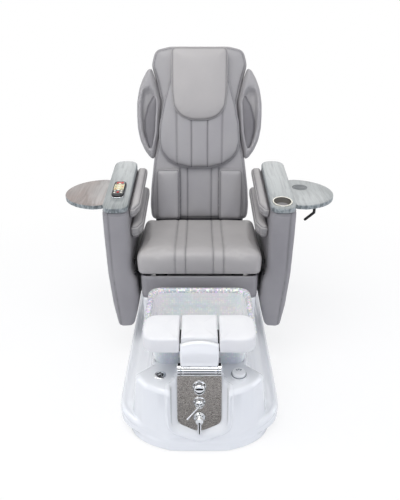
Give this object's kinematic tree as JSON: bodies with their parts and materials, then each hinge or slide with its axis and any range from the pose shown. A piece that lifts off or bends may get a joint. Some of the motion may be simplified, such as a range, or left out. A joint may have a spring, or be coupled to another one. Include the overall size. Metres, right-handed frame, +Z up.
{
  "type": "pedicure spa chair",
  "caption": "Pedicure spa chair: padded reclining seat with arms and swing trays over a moulded base with foot bowl, taps and flip footrest.",
  "frame": {"origin": "centre of the chair in plan, on the floor", "axes": "+X to the right of the picture (the sitter's left), +Y to the rear, +Z up"},
  "size_m": [1.294, 1.4416, 1.4468],
  "materials": {
    "gelcoat": "glossy white moulded glass-fibre shell",
    "frame_black": "black powder-coated steel",
    "rubber": "black rubber feet",
    "bowl_crystal": "pearly iridescent moulded basin with a fine sparkle",
    "chrome": "polished chrome plating",
    "pump_plastic": "dark grey moulded pump body",
    "pipe": "plain supply pipes",
    "brushed_plate": "hammered and brushed stainless steel",
    "brass": "brass valve block",
    "button_black": "glossy black push button",
    "knob_white": "glossy white control",
    "footrest_vinyl": "white soft-touch foot pads",
    "upholstery": "grey synthetic leather, sewn",
    "upholstery_light": "lighter grey synthetic leather, sewn",
    "wood_laminate": "grey streaked wood laminate",
    "stainless": "satin stainless steel",
    "remote_black": "glossy remote control",
    "key_red": "red key",
    "key_light": "light keys",
    "shell_black": "dark moulded back shell",
    "zinc": "zinc-plated steel"
  },
  "bodies": {
    "base": {"base_shell": "gelcoat", "base_frame": "frame_black", "levelling_feet": "rubber", "bowl": "bowl_crystal", "bowl_drain": "chrome", "jet_motor": "pump_plastic", "jet_cover": "chrome", "drain_pump": "pump_plastic", "supply_pipes": "pipe", "access_panel": "gelcoat", "panel_screws": "zinc", "power_inlet": "pump_plastic", "control_plate": "brushed_plate", "tap_bodies": "brass", "jet_button_ring": "chrome", "selector_collar": "chrome", "hinge_bracket": "zinc", "hinge_pin": "zinc", "skirt": "upholstery", "slide_rails": "zinc"},
    "impeller": {"jet_impeller": "knob_white"},
    "diverter": {"diverter_knob": "chrome"},
    "mixer": {"mixer_dome": "chrome"},
    "lever": {"mixer_lever": "chrome"},
    "hand_sprayer": {"sprayer": "chrome"},
    "button": {"jet_button": "button_black"},
    "selector": {"selector_knob": "knob_white"},
    "footrest": {"hinge_barrel": "chrome", "footrest_frame": "frame_black", "footrest_housing": "knob_white", "footrest_pad_centre": "footrest_vinyl", "footrest_side_pads": "footrest_vinyl"},
    "seat": {"seat_carriage": "frame_black", "seat_cushion": "upholstery", "side_frames": "frame_black", "arm_shell_right": "upholstery", "arm_shell_left": "upholstery", "arm_cap_right": "wood_laminate", "arm_cap_left": "wood_laminate", "arm_pads_right": "upholstery", "arm_pads_left": "upholstery", "tray_brackets": "frame_black"},
    "cup": {"cup_holder": "stainless"},
    "remote_control": {"remote": "remote_black", "remote_keys": "key_light"},
    "power_key": {"remote_power_key": "key_red"},
    "right_tray": {"tray_right": "wood_laminate"},
    "left_tray": {"tray_left": "wood_laminate"},
    "tray_latch": {"tray_lever": "frame_black"},
    "back": {"back_frame": "frame_black", "back_shell": "shell_black", "back_cushion": "upholstery", "bib_cushion": "upholstery", "headrest_pillow": "upholstery_light", "wing_right": "upholstery", "wing_left": "upholstery", "lumbar_pads": "upholstery"},
    "massager": {"massage_carriage": "pump_plastic"},
    "actuator_tube": {"recline_tube": "zinc"},
    "actuator_rod": {"recline_rod": "chrome"}
  },
  "joints": [
    {"name": "seat_slide", "type": "slide", "parent": "base", "child": "seat", "axis": [0, -1, 0], "range_m": [0, 0.09]},
    {"name": "back_recline", "type": "hinge", "parent": "seat", "child": "back", "pos_m": [0, 0.373, 0.545], "axis": [-1, 0, 0], "range_deg": [0, 28]},
    {"name": "massage_climb", "type": "slide", "parent": "back", "child": "massager", "axis": [0, 0.2334, 0.9724], "range_m": [-0.14, 0.36]},
    {"name": "actuator_swing", "type": "hinge", "parent": "seat", "child": "actuator_tube", "pos_m": [0, 0.034, 0.4605], "axis": [1, 0, 0], "range_deg": [0, 1.79]},
    {"name": "actuator_stroke", "type": "slide", "parent": "actuator_tube", "child": "actuator_rod", "axis": [0, -0.9991, -0.0427], "range_m": [0, 0.03233]},
    {"name": "footrest_flip", "type": "hinge", "parent": "base", "child": "footrest", "pos_m": [0, -0.628, 0.362], "axis": [1, 0, 0], "range_deg": [0, 80]},
    {"name": "impeller_spin", "type": "hinge", "parent": "base", "child": "impeller", "pos_m": [0, -0.20812, 0.236], "axis": [0, -0.9884, 0.1516], "continuous": true},
    {"name": "diverter_turn", "type": "hinge", "parent": "base", "child": "diverter", "pos_m": [0, -0.63256, 0.2787], "axis": [0, -0.9636, 0.2672], "range_deg": [-90, 90]},
    {"name": "mixer_turn", "type": "hinge", "parent": "base", "child": "mixer", "pos_m": [0, -0.65016, 0.21525], "axis": [0, -0.9636, 0.2672], "range_deg": [-25, 90]},
    {"name": "mixer_lift", "type": "hinge", "parent": "mixer", "child": "lever", "pos_m": [0, -0.69063, 0.22647], "axis": [-0.7071, 0.189, 0.6814], "range_deg": [0, 25]},
    {"name": "sprayer_pull", "type": "slide", "parent": "base", "child": "hand_sprayer", "axis": [0, -0.9636, 0.2672], "range_m": [0, 0.045]},
    {"name": "jet_button_press", "type": "slide", "parent": "base", "child": "button", "axis": [0, 0, -1], "range_m": [0, 0.003], "stiffness_N_per_m": 800},
    {"name": "selector_turn", "type": "hinge", "parent": "base", "child": "selector", "pos_m": [0.16, -0.593, 0.3], "axis": [0, 0, 1], "range_deg": [-135, 135]},
    {"name": "cup_holder_lift", "type": "slide", "parent": "seat", "child": "cup", "axis": [0, -0.127, 0.9919], "range_m": [0, 0.08]},
    {"name": "remote_lift", "type": "slide", "parent": "seat", "child": "remote_control", "axis": [0, -0.127, 0.9919], "range_m": [0, 0.1]},
    {"name": "power_key_press", "type": "slide", "parent": "remote_control", "child": "power_key", "axis": [0, 0.127, -0.9919], "range_m": [0, 0.0012], "stiffness_N_per_m": 300},
    {"name": "right_tray_swing", "type": "hinge", "parent": "seat", "child": "right_tray", "pos_m": [0.476, 0.29, 0.801], "axis": [0, 0, 1], "range_deg": [0, 100]},
    {"name": "left_tray_swing", "type": "hinge", "parent": "seat", "child": "left_tray", "pos_m": [-0.476, 0.29, 0.801], "axis": [0, 0, -1], "range_deg": [0, 100]},
    {"name": "tray_lever_turn", "type": "hinge", "parent": "right_tray", "child": "tray_latch", "pos_m": [0.541, 0.021, 0.8007], "axis": [0, 0, 1], "range_deg": [0, 40]}
  ],
  "couplings": [
    {"joint": "actuator_swing", "follows": "back_recline", "ratio": 0.063934},
    {"joint": "actuator_stroke", "follows": "back_recline", "m_per_rad": 0.066156}
  ]
}
